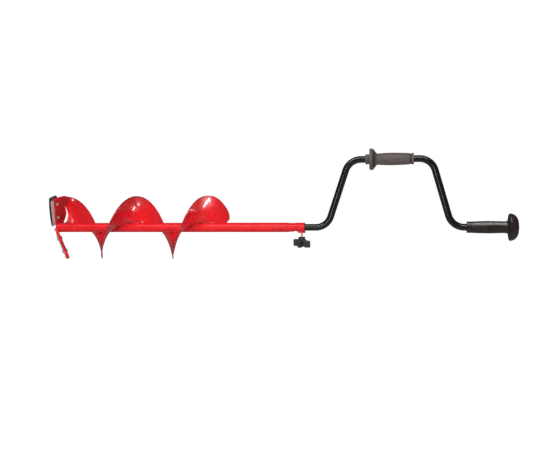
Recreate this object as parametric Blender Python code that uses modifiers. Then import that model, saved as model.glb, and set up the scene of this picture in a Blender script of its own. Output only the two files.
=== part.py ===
"""Hand-cranked ice fishing auger: flighted tube with two bolted blades, and a telescoping crank handle.

Metres, +Z up. The auger's axis is the X axis: the cutting head is at X = 0 and the palm knob at +X.
The crank's offset bow points to +Z. The flighting is left-handed, so the auger cuts when it turns
counter-clockwise as seen from the palm knob.
"""

import math

import bmesh
import bpy
from mathutils import Matrix, Vector

# ---- driving dimensions, in metres ----
TUBE_LENGTH = 0.667
TUBE_R = 0.0122
TUBE_BORE_R = 0.0093
NECK_R = 0.0113
SOCKET_R = 0.0121
SOCKET_START = 0.646

FLIGHT_R = 0.0825
FLIGHT_PITCH = 0.196
FLIGHT_TOP_X = 0.026        # the first crossing of the +Z side
FLIGHT_SHEET = 0.0024
FLIGHT_CUP = 0.0045          # how far the sheet's root lies back towards the blades
FLIGHT_SAGS = ((180.0, 300.0, 0.0022), (530.0, 745.0, 0.0056))   # stretches pulled back: from, to, how far
FLIGHT_LEAD_DEG = 3.0
FLIGHT_TAIL_DEG = 794.0

CUT_R = 0.0912
EDGE_INNER = Vector((-0.013, -0.005, 0.005))    # cutting edge of blade a, beside the axis
EDGE_OUTER = Vector((0.000, -0.044, 0.080))     # cutting edge of blade a, at the rim
RAKE_DEG = 30.0
BLADE_T = 0.003
BLADE_LEAD = 0.0043          # how far the ground edge stands ahead of the blade frame
BLADE_WIDTH = 0.022
BRACKET_T = 0.0068
BRACKET_R = 0.0835
BRACKET_SETBACK = 0.009
BEVEL_DEG = 38.0
BLADE_NUT_R = 0.0048
BLADE_NUT_T = 0.0016
BLADE_BOLTS = ((0.0145, 0.024), (0.0145, 0.0645))  # behind the edge, along the blade

CRANK_R = 0.0086
CRANK_BORE_R = 0.0071
CRANK_START = 0.370
CRANK_END = 1.170
CRANK_THROW = 0.170
CRANK_CORNERS = (0.724, 0.7803, 0.9835, 1.0325)
CRANK_BEND_R = 0.040

MIDDLE_GRIP_START = 0.821
MIDDLE_GRIP_END = 0.940
PALM_GRIP_START = 1.068
PALM_KNOB_TOP = 1.1915
PALM_KNOB_R = 0.0338

THUMB_X = 0.659
THUMB_R = 0.003

GAP = 0.0003
ROUND_STEPS = 28

# ---- colours: base colour, roughness, metallic ----
FINISHES = {
    "red_paint": ((0.72, 0.02, 0.02), 0.35, 0.0),
    "black_paint": ((0.012, 0.012, 0.012), 0.22, 0.0),
    "blade_steel": ((0.62, 0.63, 0.64), 0.28, 1.0),
    "zinc_steel": ((0.55, 0.56, 0.57), 0.38, 1.0),
    "grip_rubber": ((0.085, 0.070, 0.066), 0.75, 0.0),
    "palm_plastic": ((0.030, 0.024, 0.024), 0.48, 0.0),
    "knob_plastic": ((0.030, 0.029, 0.028), 0.60, 0.0),
    "plug_plastic": ((0.020, 0.020, 0.020), 0.60, 0.0),
}

ALONG_X = Matrix.Rotation(math.radians(90), 4, "Y")      # local +Z becomes world +X
HALF_TURN = Matrix.Rotation(math.pi, 4, "X")


def clear_scene():
    for old in list(bpy.data.objects):
        bpy.data.objects.remove(old, do_unlink=True)


def collection(name):
    made = bpy.data.collections.new(name)
    bpy.context.scene.collection.children.link(made)
    return made


clear_scene()
AUGER = collection("ice_auger")
CUTTERS = collection("cutters")


def finish(name):
    """The material of this name, made on its first use."""
    if name in bpy.data.materials:
        return bpy.data.materials[name]
    colour, roughness, metallic = FINISHES[name]
    made = bpy.data.materials.new(name)
    made.use_nodes = True
    shader = made.node_tree.nodes["Principled BSDF"]
    shader.inputs["Base Color"].default_value = (*colour, 1.0)
    shader.inputs["Roughness"].default_value = roughness
    shader.inputs["Metallic"].default_value = metallic
    return made


def placed(name, data, matrix, paint, where=AUGER):
    """An object for this mesh or curve, in its collection and with its finish."""
    made = bpy.data.objects.new(name, data)
    made.matrix_world = matrix
    where.objects.link(made)
    if paint:
        data.materials.append(finish(paint))
    return made


def smooth(mesh, degrees=35.0):
    mesh.shade_smooth()
    mesh.set_sharp_from_angle(angle=math.radians(degrees))


def turned(name, profile, matrix, paint, steps=ROUND_STEPS, closed=False):
    """A profile of (radius, height) points spun about the local Z axis.

    The points run down the outer side. A closed profile is a ring. An open one starts and ends on the axis.
    """
    mesh = bpy.data.meshes.new(name)
    points = [(radius, 0.0, height) for radius, height in profile]
    edges = [(i, i + 1) for i in range(len(points) - 1)]
    if closed:
        edges.append((len(points) - 1, 0))
    mesh.from_pydata(points, edges, [])
    made = placed(name, mesh, matrix, paint)
    screw = made.modifiers.new("Spin", "SCREW")
    screw.steps = steps
    screw.render_steps = steps
    screw.use_merge_vertices = True
    screw.merge_threshold = 0.00001
    screw.use_smooth_shade = True
    return made


def evaluated_mesh(source):
    """The object's shape with its modifiers, as a mesh with its caps welded on."""
    bpy.context.view_layer.update()
    ready = source.evaluated_get(bpy.context.evaluated_depsgraph_get())
    mesh = bpy.data.meshes.new_from_object(ready)
    shell = bmesh.new()
    shell.from_mesh(mesh)
    bmesh.ops.remove_doubles(shell, verts=shell.verts, dist=0.00001)
    shell.to_mesh(mesh)
    shell.free()
    return mesh


def outlined(name, outlines, thickness, matrix, paint):
    """A flat plate from local Z = 0 up. The first outline is its edge, and the rest are holes."""
    curve = bpy.data.curves.new(name, "CURVE")
    curve.dimensions = "2D"
    curve.fill_mode = "BOTH"
    curve.extrude = thickness / 2
    for outline in outlines:
        spline = curve.splines.new("POLY")
        spline.points.add(len(outline) - 1)
        for point, (x, y) in zip(spline.points, outline):
            point.co = (x, y, 0.0, 1.0)
        spline.use_cyclic_u = True
    drawn = placed(name + "_outline", curve, Matrix.Identity(4), paint)
    mesh = evaluated_mesh(drawn)
    bpy.data.objects.remove(drawn, do_unlink=True)
    mesh.transform(Matrix.Translation((0.0, 0.0, thickness / 2)))
    smooth(mesh)
    return placed(name, mesh, matrix, None)


def circle(radius, centre=(0.0, 0.0), steps=20, turn_deg=0.0):
    turn = math.radians(turn_deg)
    return [
        (
            centre[0] + radius * math.cos(turn + 2 * math.pi * i / steps),
            centre[1] + radius * math.sin(turn + 2 * math.pi * i / steps),
        )
        for i in range(steps)
    ]


def cutter_cylinder(name, radius, length, matrix, steps=24):
    mesh = bpy.data.meshes.new(name)
    shell = bmesh.new()
    bmesh.ops.create_cone(
        shell, cap_ends=True, segments=steps, radius1=radius, radius2=radius, depth=length
    )
    shell.to_mesh(mesh)
    shell.free()
    return as_cutter(placed(name, mesh, matrix, None, CUTTERS))


def as_cutter(made):
    made.hide_render = True
    made.display_type = "WIRE"
    return made


def apply_boolean(made, other, operation="DIFFERENCE"):
    step = made.modifiers.new(other.name, "BOOLEAN")
    step.operation = operation
    step.object = other


# ---- auger tube and what is fixed in it ----


def auger_tube():
    """Steel tube with a necked clamp socket at its upper end and a side hole for the clamp screw."""
    outer = [
        (TUBE_R, 0.0),
        (TUBE_R, 0.622),
        (NECK_R, 0.628),
        (NECK_R, SOCKET_START - 0.003),
        (SOCKET_R, SOCKET_START),
        (SOCKET_R, TUBE_LENGTH),
    ]
    bore = [(TUBE_BORE_R, TUBE_LENGTH), (TUBE_BORE_R, 0.0)]
    profile = list(reversed(outer)) + list(reversed(bore))
    made = turned("auger_tube", profile, ALONG_X, "red_paint", closed=True)
    drill = Matrix.Translation((THUMB_X, 0.0, -TUBE_R))
    apply_boolean(made, cutter_cylinder("clamp_hole_cutter", THUMB_R + GAP, 0.010, drill))


def lower_end_plug():
    """Disc welded into the cutting end of the tube. Its outer face is the part's origin."""
    radius = TUBE_BORE_R - GAP
    profile = [(0.0, 0.012), (radius - 0.001, 0.012), (radius, 0.011), (radius, 0.0), (0.0, 0.0)]
    turned("lower_end_plug", profile, ALONG_X, "red_paint")


def clamp_nut():
    """Oblong weld nut under the socket, which the clamp screw threads into."""
    long, wide, corner, height = 0.0195, 0.0110, 0.0020, 0.0019
    outline = [
        (-long / 2, corner - wide / 2),
        (corner - long / 2, -wide / 2),
        (long / 2 - corner, -wide / 2),
        (long / 2, corner - wide / 2),
        (long / 2, wide / 2 - corner),
        (long / 2 - corner, wide / 2),
        (corner - long / 2, wide / 2),
        (-long / 2, wide / 2 - corner),
    ]
    base = Matrix.Translation((THUMB_X, 0.0, -SOCKET_R - GAP - height))
    outlined("clamp_nut", [outline, circle(THUMB_R + GAP)], height, base, "red_paint")


# ---- flighting ----


def lead_edge_deg(radius):
    """Where the sheet starts at this radius: a crescent is cut away between the tube and the bracket."""
    if radius >= 0.061:
        return FLIGHT_LEAD_DEG
    depth = 1.0 - ((radius - 0.025) / 0.036) ** 2
    return FLIGHT_LEAD_DEG + 14.0 * depth


def tail_edge_deg(radius):
    """Where the sheet ends at this radius: square at the tube, with a rounded outer corner."""
    corner = 0.024
    into = (radius - (FLIGHT_R - corner)) / corner
    if into <= 0.0:
        return FLIGHT_TAIL_DEG
    return FLIGHT_TAIL_DEG - math.degrees(corner / FLIGHT_R) * (1.0 - math.sqrt(1.0 - into * into))


def eased(t):
    t = min(1.0, max(0.0, t))
    return t * t * (3.0 - 2.0 * t)


def flight_sag(turn_deg):
    """How far the hand-pulled sheet lies back from a true helix at this turn."""
    return sum(
        depth * eased((turn_deg - start) / 45.0) * eased((end - turn_deg) / 55.0)
        for start, end, depth in FLIGHT_SAGS
    )


def flight_point(turn_deg, radius):
    """A point of the helical sheet. Its first stretch is bent down to lie on the blade bracket."""
    turn = math.radians(turn_deg)
    bend = 28.0
    into = max(0.0, (FLIGHT_LEAD_DEG + bend - turn_deg) / bend)
    drop = 0.40 * (FLIGHT_R - radius) * into * into
    cup = FLIGHT_CUP * (FLIGHT_R - radius) / (FLIGHT_R - TUBE_R)
    x = FLIGHT_TOP_X + FLIGHT_PITCH * turn_deg / 360.0 - drop - cup - flight_sag(turn_deg)
    return Vector((x, radius * math.sin(turn), radius * math.cos(turn)))


def flighting():
    """Left-handed helical sheet, two and a fifth turns, welded round the tube."""
    inner = TUBE_R + GAP + 0.0002
    radii = [inner, 0.022, 0.034, 0.048, 0.061, 0.072, 0.078, FLIGHT_R - 0.0008, FLIGHT_R]
    columns = 100
    sheet = bmesh.new()
    rows = []
    for radius in radii:
        lead, tail = lead_edge_deg(radius), tail_edge_deg(radius)
        turns = [lead + (tail - lead) * i / columns for i in range(columns + 1)]
        rows.append([sheet.verts.new(flight_point(turn, radius)) for turn in turns])
    for low, high in zip(rows, rows[1:]):
        for i in range(columns):
            sheet.faces.new((low[i], low[i + 1], high[i + 1], high[i]))
    mesh = bpy.data.meshes.new("flighting")
    sheet.to_mesh(mesh)
    sheet.free()
    smooth(mesh, 40.0)
    made = placed("flighting", mesh, Matrix.Identity(4), "red_paint")
    shell = made.modifiers.new("Sheet", "SOLIDIFY")
    shell.thickness = FLIGHT_SHEET
    shell.offset = 0.0


# ---- cutting head ----


def blade_frame():
    """Blade a's own frame: X runs back from the cutting edge, Y out along it and Z towards the handle."""
    along = (EDGE_OUTER - EDGE_INNER).normalized()
    level_back = Vector((0.0, -along.z, along.y)).normalized()
    if level_back.y < 0.0:
        level_back.negate()
    rake = math.radians(RAKE_DEG)
    back = level_back * math.cos(rake) + Vector((math.sin(rake), 0.0, 0.0))
    back = (back - along * back.dot(along)).normalized()
    up = back.cross(along)
    frame = Matrix((back, along, up)).transposed().to_4x4()
    frame.translation = EDGE_INNER
    return frame


BLADE_FRAME = blade_frame()
HEAD_SIDES = {"a": Matrix.Identity(4), "b": HALF_TURN}


def reach(back, radius, height=0.0):
    """How far out along the blade a line this far behind the edge meets a cylinder round the auger's axis."""
    start = (BLADE_FRAME @ Vector((back, 0.0, height))).yz
    along = BLADE_FRAME.col[1].yz
    a, b, c = along.dot(along), start.dot(along), start.dot(start) - radius**2
    return (-b + math.sqrt(b * b - a * c)) / a


def above(height):
    return BLADE_FRAME @ Matrix.Translation((0.0, 0.0, height))


def bolt_holes(radius):
    return [circle(radius, centre) for centre in BLADE_BOLTS]


def cutting_blade(side, turn):
    """Flat ground blade with a slightly bowed cutting edge, an arc-shaped outer end and two bolt holes."""
    bow, steps = 0.0025, 10
    length = reach(bow - BLADE_LEAD, CUT_R)
    edge = [(bow * (2 * i / steps - 1) ** 2 - BLADE_LEAD, length * i / steps) for i in range(steps + 1)]
    outer = [(back, reach(back, CUT_R)) for back in (0.002, 0.008, 0.014, BLADE_WIDTH - 0.003)]
    inner = [(BLADE_WIDTH, reach(BLADE_WIDTH, CUT_R) - 0.004), (BLADE_WIDTH, 0.008), (0.012, -0.001)]
    outline = edge + outer + inner
    name = "cutting_blade_" + side
    made = outlined(name, [outline] + bolt_holes(0.0032), BLADE_T, turn @ above(0.0), "blade_steel")
    bevel = math.radians(BEVEL_DEG)
    size = 0.030
    grind = Matrix.Translation((0.0005 - BLADE_LEAD, length / 2, 0.0002)) @ Matrix.Rotation(-bevel, 4, "Y")
    grind = grind @ Matrix.Translation((0.0, 0.0, size / 2)) @ Matrix.Diagonal((size, 0.2, size, 1.0))
    mesh = bpy.data.meshes.new("grind_cutter_" + side)
    shell = bmesh.new()
    bmesh.ops.create_cube(shell, size=1.0)
    shell.to_mesh(mesh)
    shell.free()
    mesh.transform(grind)
    cutter = placed("grind_cutter_" + side, mesh, turn @ above(0.0), None, CUTTERS)
    apply_boolean(made, as_cutter(cutter))


def blade_bracket(side, turn):
    """Raked plate from the tube's end out to the flighting, which the blade is bolted under."""
    front = BRACKET_SETBACK
    base = BLADE_T + GAP
    middle = base + BRACKET_T / 2
    leading = [(front, 0.002), (front, reach(front, BRACKET_R, middle))]
    outer = [(back, reach(back, BRACKET_R, middle)) for back in (0.016, 0.024, 0.032, 0.040, 0.047)]
    trailing = [
        (0.0518, 0.0712),
        (0.0391, 0.0513),
        (0.0390, 0.0465),
        (0.0415, 0.0375),
        (0.0420, 0.0237),
        (0.0361, 0.0111),
        (0.0292, -0.0011),
        (0.0198, -0.0110),
    ]
    outline = leading + outer + trailing
    name = "blade_bracket_" + side
    made = outlined(name, [outline] + bolt_holes(0.0033), BRACKET_T, turn @ above(base), "red_paint")
    seat, depth = 0.0026, 0.040
    clear = ALONG_X.copy()
    clear.translation = (depth / 2 - seat, 0.0, 0.0)
    cutter = cutter_cylinder("tube_clear_cutter_" + side, TUBE_R + GAP, depth, clear, 32)
    apply_boolean(made, cutter)


def blade_screw(name, centre, turn):
    """Flat-bottomed round head below the blade, with its plain shank up through the bracket and nut."""
    head_r, head_t, shank_r = 0.0052, 0.0026, 0.0029
    top = BLADE_T + BRACKET_T + BLADE_NUT_T + 0.0012
    profile = [
        (0.0, top),
        (shank_r - 0.0004, top),
        (shank_r, top - 0.0004),
        (shank_r, -GAP),
        (head_r, -GAP),
        (head_r, -GAP - head_t * 0.5),
        (head_r - 0.0016, -GAP - head_t),
        (0.0, -GAP - head_t),
    ]
    turned(name, profile, turn @ above(0.0) @ Matrix.Translation((*centre, 0.0)), "zinc_steel", steps=16)


def blade_nut(name, centre, turn):
    base = BLADE_T + BRACKET_T + 2 * GAP
    frame = turn @ above(base) @ Matrix.Translation((*centre, 0.0))
    outlines = [circle(BLADE_NUT_R, steps=6, turn_deg=15.0), circle(0.0032, steps=16)]
    outlined(name, outlines, BLADE_NUT_T, frame, "zinc_steel")


def cutting_head():
    for side, turn in HEAD_SIDES.items():
        cutting_blade(side, turn)
        blade_bracket(side, turn)
        for number, centre in enumerate(BLADE_BOLTS, start=1):
            blade_screw(f"blade_screw_{side}{number}", centre, turn)
            blade_nut(f"blade_nut_{side}{number}", centre, turn)


# ---- clamp screw ----


def thumb_screw():
    """Plain steel shank of the clamp screw. Its tip stops just short of the crank tube."""
    tip = -(CRANK_R + GAP)
    end = -0.036
    profile = [
        (0.0, tip),
        (THUMB_R - 0.0006, tip),
        (THUMB_R, tip - 0.0006),
        (THUMB_R, end),
        (0.0, end),
    ]
    turned("thumb_screw", profile, Matrix.Translation((THUMB_X, 0.0, 0.0)), "zinc_steel", steps=18)


def wing_lean(angle):
    """How far a wing at this angle stands above the middle of the four."""
    return -0.0016 * math.cos(angle) + 0.0018 * math.sin(angle)


def thumb_knob():
    """Moulded knob with a round hub and four wings, bored from above for the screw."""
    hub_r, hub_top, hub_end = 0.0087, -0.0240, -0.0480
    wing_r, wing_top, wing_end, wing_t = 0.0228, -0.0320, -0.0493, 0.0085
    knob = bpy.data.meshes.new("thumb_knob")
    shell = bmesh.new()
    hub = Matrix.Translation((0.0, 0.0, (hub_top + hub_end) / 2))
    bmesh.ops.create_cone(
        shell,
        cap_ends=True,
        segments=24,
        radius1=hub_r * 0.88,
        radius2=hub_r,
        depth=hub_top - hub_end,
        matrix=hub,
    )
    shell.to_mesh(knob)
    shell.free()
    smooth(knob)
    made = placed("thumb_knob", knob, Matrix.Translation((THUMB_X, 0.0, 0.0)), "knob_plastic")
    for number, azimuth in enumerate((-14.0, 76.0, 166.0, 256.0)):
        mesh = bpy.data.meshes.new(f"wing_cutter_{number}")
        shell = bmesh.new()
        bmesh.ops.create_cube(shell, size=1.0)
        shell.to_mesh(mesh)
        shell.free()
        size = Matrix.Diagonal((wing_r - 0.002, wing_t, wing_top - wing_end, 1.0))
        lean = wing_lean(math.radians(azimuth))
        shift = Matrix.Translation(((wing_r + 0.002) / 2, 0.0, (wing_top + wing_end) / 2 + lean))
        mesh.transform(shift @ size)
        turn = Matrix.Rotation(math.radians(azimuth), 4, "Z")
        spot = Matrix.Translation((THUMB_X, 0.0, 0.0)) @ turn
        wing = as_cutter(placed(f"wing_cutter_{number}", mesh, spot, None, CUTTERS))
        rounding = wing.modifiers.new("Rounding", "BEVEL")
        rounding.width = 0.002
        rounding.segments = 2
        apply_boolean(made, wing, "UNION")
    bore = Matrix.Translation((THUMB_X, 0.0, (hub_top + 0.001 - 0.037) / 2))
    apply_boolean(made, cutter_cylinder("knob_bore_cutter", THUMB_R + GAP, 0.0137, bore))


# ---- crank handle ----


def filleted(corners, radius, steps):
    """The corners joined by straight lines, with an arc of this radius at each inner corner."""
    points = [corners[0]]
    for before, corner, after in zip(corners, corners[1:], corners[2:]):
        to_before, to_after = (before - corner).normalized(), (after - corner).normalized()
        half = to_before.angle(to_after) / 2
        centre = corner + (to_before + to_after).normalized() * (radius / math.sin(half))
        start = corner + to_before * (radius / math.tan(half)) - centre
        sweep = math.pi - 2 * half
        axis = to_before.cross(to_after).normalized()
        for i in range(steps + 1):
            points.append(centre + Matrix.Rotation(-sweep * i / steps, 3, axis) @ start)
    return points + [corners[-1]]


def crank_tube():
    """One bent steel tube: the stem inside the auger tube, the offset bow and the palm grip's spindle."""
    x1, x2, x3, x4 = CRANK_CORNERS
    corners = [
        Vector((CRANK_START, 0.0, 0.0)),
        Vector((x1, 0.0, 0.0)),
        Vector((x2, 0.0, CRANK_THROW)),
        Vector((x3, 0.0, CRANK_THROW)),
        Vector((x4, 0.0, 0.0)),
        Vector((CRANK_END, 0.0, 0.0)),
    ]
    route = filleted(corners, CRANK_BEND_R, 8)
    curve = bpy.data.curves.new("crank_tube", "CURVE")
    curve.dimensions = "3D"
    curve.bevel_depth = CRANK_R
    curve.bevel_resolution = 8
    curve.render_resolution_u = 0
    spline = curve.splines.new("POLY")
    spline.points.add(len(route) - 1)
    for point, spot in zip(spline.points, route):
        point.co = (*spot, 1.0)
    spline.use_smooth = True
    made = placed("crank_tube", curve, Matrix.Identity(4), "black_paint")
    wall = made.modifiers.new("Wall", "SOLIDIFY")
    wall.thickness = CRANK_R - CRANK_BORE_R
    wall.offset = -1.0


def crank_lower_plug():
    """Guide plug pressed into the crank's hidden end, which centres it in the auger tube."""
    head_r, stem_r = TUBE_BORE_R - GAP, CRANK_BORE_R - GAP
    shoulder = CRANK_START - GAP
    profile = [
        (0.0, CRANK_START + 0.016),
        (stem_r - 0.001, CRANK_START + 0.016),
        (stem_r, CRANK_START + 0.015),
        (stem_r, shoulder),
        (head_r, shoulder),
        (head_r, CRANK_START - 0.009),
        (head_r - 0.001, CRANK_START - 0.010),
        (0.0, CRANK_START - 0.010),
    ]
    turned("crank_lower_plug", profile, ALONG_X, "plug_plastic")


def crank_upper_plug():
    """Threaded insert in the crank's upper end, bored for the retaining screw."""
    radius, bore = CRANK_BORE_R - GAP, 0.0027
    low, high = CRANK_END - 0.020, CRANK_END - 0.0005
    hole_end = low + 0.004
    profile = [(0.0, hole_end), (bore, hole_end), (bore, high), (radius, high), (radius, low), (0.0, low)]
    turned("crank_upper_plug", profile, ALONG_X, "zinc_steel", steps=20)


def retaining_washer():
    inner, outer = 0.0028, 0.0115
    low, high = CRANK_END + GAP, CRANK_END + 0.0016
    profile = [(inner, high), (outer, high), (outer, low), (inner, low)]
    turned("retaining_washer", profile, ALONG_X, "zinc_steel", steps=24, closed=True)


def retaining_screw():
    """Screw that holds the palm grip's washer to the end of the crank."""
    shank_r, head_r = 0.0024, 0.0048
    seat = CRANK_END + 0.0016 + GAP
    tip = CRANK_END - 0.014
    profile = [
        (0.0, seat + 0.0030),
        (head_r - 0.0015, seat + 0.0030),
        (head_r, seat + 0.0012),
        (head_r, seat),
        (shank_r, seat),
        (shank_r, tip),
        (0.0, tip),
    ]
    turned("retaining_screw", profile, ALONG_X, "zinc_steel", steps=16)


# ---- grips ----


def middle_grip():
    """Sleeve that spins on the crank's bow: a ribbed collar, a hand-stop flange and a barrel-shaped body."""
    start, end, bore = MIDDLE_GRIP_START, MIDDLE_GRIP_END, CRANK_R + GAP
    outer = [
        (0.0129, start),
        (0.0129, start + 0.0040),
        (0.0120, start + 0.0045),
        (0.0120, start + 0.0098),
        (0.0262, start + 0.0100),
        (0.0267, start + 0.0108),
        (0.0267, start + 0.0180),
        (0.0255, start + 0.0195),
        (0.0165, start + 0.0265),
        (0.0140, start + 0.0290),
        (0.0150, start + 0.0450),
        (0.0156, start + 0.0630),
        (0.0152, start + 0.0850),
        (0.0141, start + 0.1085),
        (0.0133, start + 0.1092),
        (0.0133, start + 0.1132),
        (0.0141, start + 0.1140),
        (0.0141, end - 0.0008),
        (0.0133, end),
    ]
    profile = list(reversed(outer)) + [(bore, start), (bore, end)]
    bow = ALONG_X @ Matrix.Translation((-CRANK_THROW, 0.0, 0.0))
    turned("middle_grip", profile, bow, "grip_rubber", closed=True)


def palm_grip():
    """Sleeve that spins on the crank's end, flared into the underside of the palm knob."""
    start, end, bore = PALM_GRIP_START, CRANK_END, CRANK_R + GAP
    outer = [
        (0.0135, start),
        (0.0143, start + 0.0010),
        (0.0143, start + 0.0030),
        (0.0136, start + 0.0036),
        (0.0136, start + 0.0060),
        (0.0143, start + 0.0066),
        (0.0143, start + 0.0100),
        (0.0139, start + 0.0110),
        (0.0149, start + 0.0300),
        (0.0154, start + 0.0480),
        (0.0149, start + 0.0720),
        (0.0145, start + 0.0880),
        (0.0150, start + 0.0940),
        (0.0160, start + 0.0965),
        (0.0180, start + 0.0983),
        (0.0215, start + 0.0992),
        (0.0290, start + 0.0998),
        (0.0325, start + 0.1005),
        (PALM_KNOB_R, end),
    ]
    profile = list(reversed(outer)) + [(bore, start), (bore, end)]
    turned("palm_grip", profile, ALONG_X, "palm_plastic", closed=True, steps=32)


def palm_knob():
    """Domed cap of the palm knob, hollow over the retaining screw."""
    base, top, rim = CRANK_END + GAP, PALM_KNOB_TOP, PALM_KNOB_R
    pocket_r, pocket_top = 0.0135, base + 0.0080
    dome = [
        (0.0, top),
        (0.0120, top - 0.0006),
        (0.0195, top - 0.0020),
        (0.0250, top - 0.0048),
        (0.0285, top - 0.0078),
        (0.0314, top - 0.0118),
        (0.0330, top - 0.0165),
        (rim, top - 0.0205),
    ]
    under = [(rim, base), (pocket_r, base), (pocket_r, pocket_top), (0.0, pocket_top)]
    turned("palm_knob", dome + under, ALONG_X, "palm_plastic", steps=32)


def build():
    auger_tube()
    lower_end_plug()
    clamp_nut()
    flighting()
    cutting_head()
    thumb_screw()
    thumb_knob()
    crank_tube()
    crank_lower_plug()
    crank_upper_plug()
    retaining_washer()
    retaining_screw()
    middle_grip()
    palm_grip()
    palm_knob()


build()
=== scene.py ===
"""Looks of the ice fishing auger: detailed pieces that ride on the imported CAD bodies, and their finishes.

Metres, +Z up, in the CAD's frame: the auger's axis is X, and the cutting head is at X = 0.
"""

import math
from math import cos, pi, radians, sin, sqrt

import bmesh
import bpy
import numpy as np
from mathutils import Matrix, Vector


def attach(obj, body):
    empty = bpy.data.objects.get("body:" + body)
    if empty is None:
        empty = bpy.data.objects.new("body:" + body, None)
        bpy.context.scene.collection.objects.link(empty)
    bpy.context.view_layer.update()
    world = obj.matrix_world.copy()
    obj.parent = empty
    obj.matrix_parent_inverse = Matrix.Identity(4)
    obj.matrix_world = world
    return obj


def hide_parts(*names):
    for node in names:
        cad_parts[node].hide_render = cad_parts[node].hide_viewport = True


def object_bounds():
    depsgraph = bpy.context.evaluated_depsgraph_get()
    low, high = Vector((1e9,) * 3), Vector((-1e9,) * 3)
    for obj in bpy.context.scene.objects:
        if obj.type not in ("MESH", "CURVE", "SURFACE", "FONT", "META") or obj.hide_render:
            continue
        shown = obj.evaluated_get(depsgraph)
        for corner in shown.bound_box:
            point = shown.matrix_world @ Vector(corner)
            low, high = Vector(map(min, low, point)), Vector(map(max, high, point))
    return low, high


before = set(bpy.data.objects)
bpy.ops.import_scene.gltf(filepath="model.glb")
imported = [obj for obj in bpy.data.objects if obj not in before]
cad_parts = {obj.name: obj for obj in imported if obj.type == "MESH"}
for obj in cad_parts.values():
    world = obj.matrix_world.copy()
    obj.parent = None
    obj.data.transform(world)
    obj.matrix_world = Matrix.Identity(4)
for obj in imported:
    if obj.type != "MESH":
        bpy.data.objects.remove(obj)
CAD_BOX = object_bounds()

# ---- sizes that the CAD states, repeated in metres ----
TUBE_LENGTH = 0.667
TUBE_R = 0.0122
TUBE_BORE_R = 0.0093
NECK_R = 0.0113
SOCKET_R = 0.0121

FLIGHT_R = 0.0825
FLIGHT_PITCH = 0.196
FLIGHT_TOP_X = 0.026        # the first crossing of the +Z side
FLIGHT_SHEET = 0.0024
FLIGHT_CUP = 0.0045         # how far the sheet's root lies back towards the blades
FLIGHT_SAGS = ((180.0, 300.0, 0.0022), (530.0, 745.0, 0.0056))   # stretches pulled back: from, to, how far
SAG_IN_DEG = 45.0
SAG_OUT_DEG = 55.0
FLIGHT_LEAD_DEG = 3.0
FLIGHT_TAIL_DEG = 794.0
FLIGHT_BEND_DEG = 28.0      # the first stretch, which drops towards the blades near the tube
FLIGHT_BEND_SLOPE = 0.40
LEAD_CUT_R, LEAD_CUT_SPAN, LEAD_CUT_DEG = 0.025, 0.036, 14.0     # the first edge's cut near the tube
TAIL_CORNER_R = 0.024

CUT_R = 0.0912
EDGE_INNER = Vector((-0.013, -0.005, 0.005))    # cutting edge of blade a, beside the axis
EDGE_OUTER = Vector((0.000, -0.044, 0.080))     # cutting edge of blade a, at the rim
RAKE_DEG = 30.0
BLADE_T = 0.003
BLADE_LEAD = 0.0043         # how far the ground edge stands ahead of the blade frame
BLADE_WIDTH = 0.022
BRACKET_T = 0.0068
BRACKET_R = 0.0835
BRACKET_SETBACK = 0.009
BEVEL_DEG = 38.0
BLADE_NUT_R = 0.0048
BLADE_NUT_T = 0.0016
BLADE_BOLTS = ((0.0145, 0.024), (0.0145, 0.0645))   # behind the edge, along the blade
SCREW_R = 0.0029

CRANK_R = 0.0086
CRANK_START = 0.370
CRANK_END = 1.170
CRANK_THROW = 0.170
CRANK_CORNERS = (0.724, 0.7803, 0.9835, 1.0325)
CRANK_BEND_R = 0.040

MIDDLE_GRIP_START = 0.821
MIDDLE_GRIP_END = 0.940
PALM_GRIP_START = 1.068
PALM_KNOB_TOP = 1.1915
PALM_KNOB_R = 0.0338

THUMB_X = 0.659
THUMB_R = 0.003
GAP = 0.0003


def at(x=0.0, y=0.0, z=0.0):
    """The matrix that moves things by this much."""
    return Matrix.Translation((x, y, z))


ALONG_X = Matrix.Rotation(radians(90), 4, "Y")
HALF_TURN = Matrix.Rotation(pi, 4, "X")
HEAD_SIDES = {"a": Matrix.Identity(4), "b": HALF_TURN}


# ---- materials ----

MIX_FACTOR, MIX_A, MIX_B, MIX_RESULT = 0, 6, 7, 2      # a colour mix node's sockets
NOISE_LOW, NOISE_HIGH = 0.3, 0.7                       # where nearly all of a noise's values lie


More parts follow.
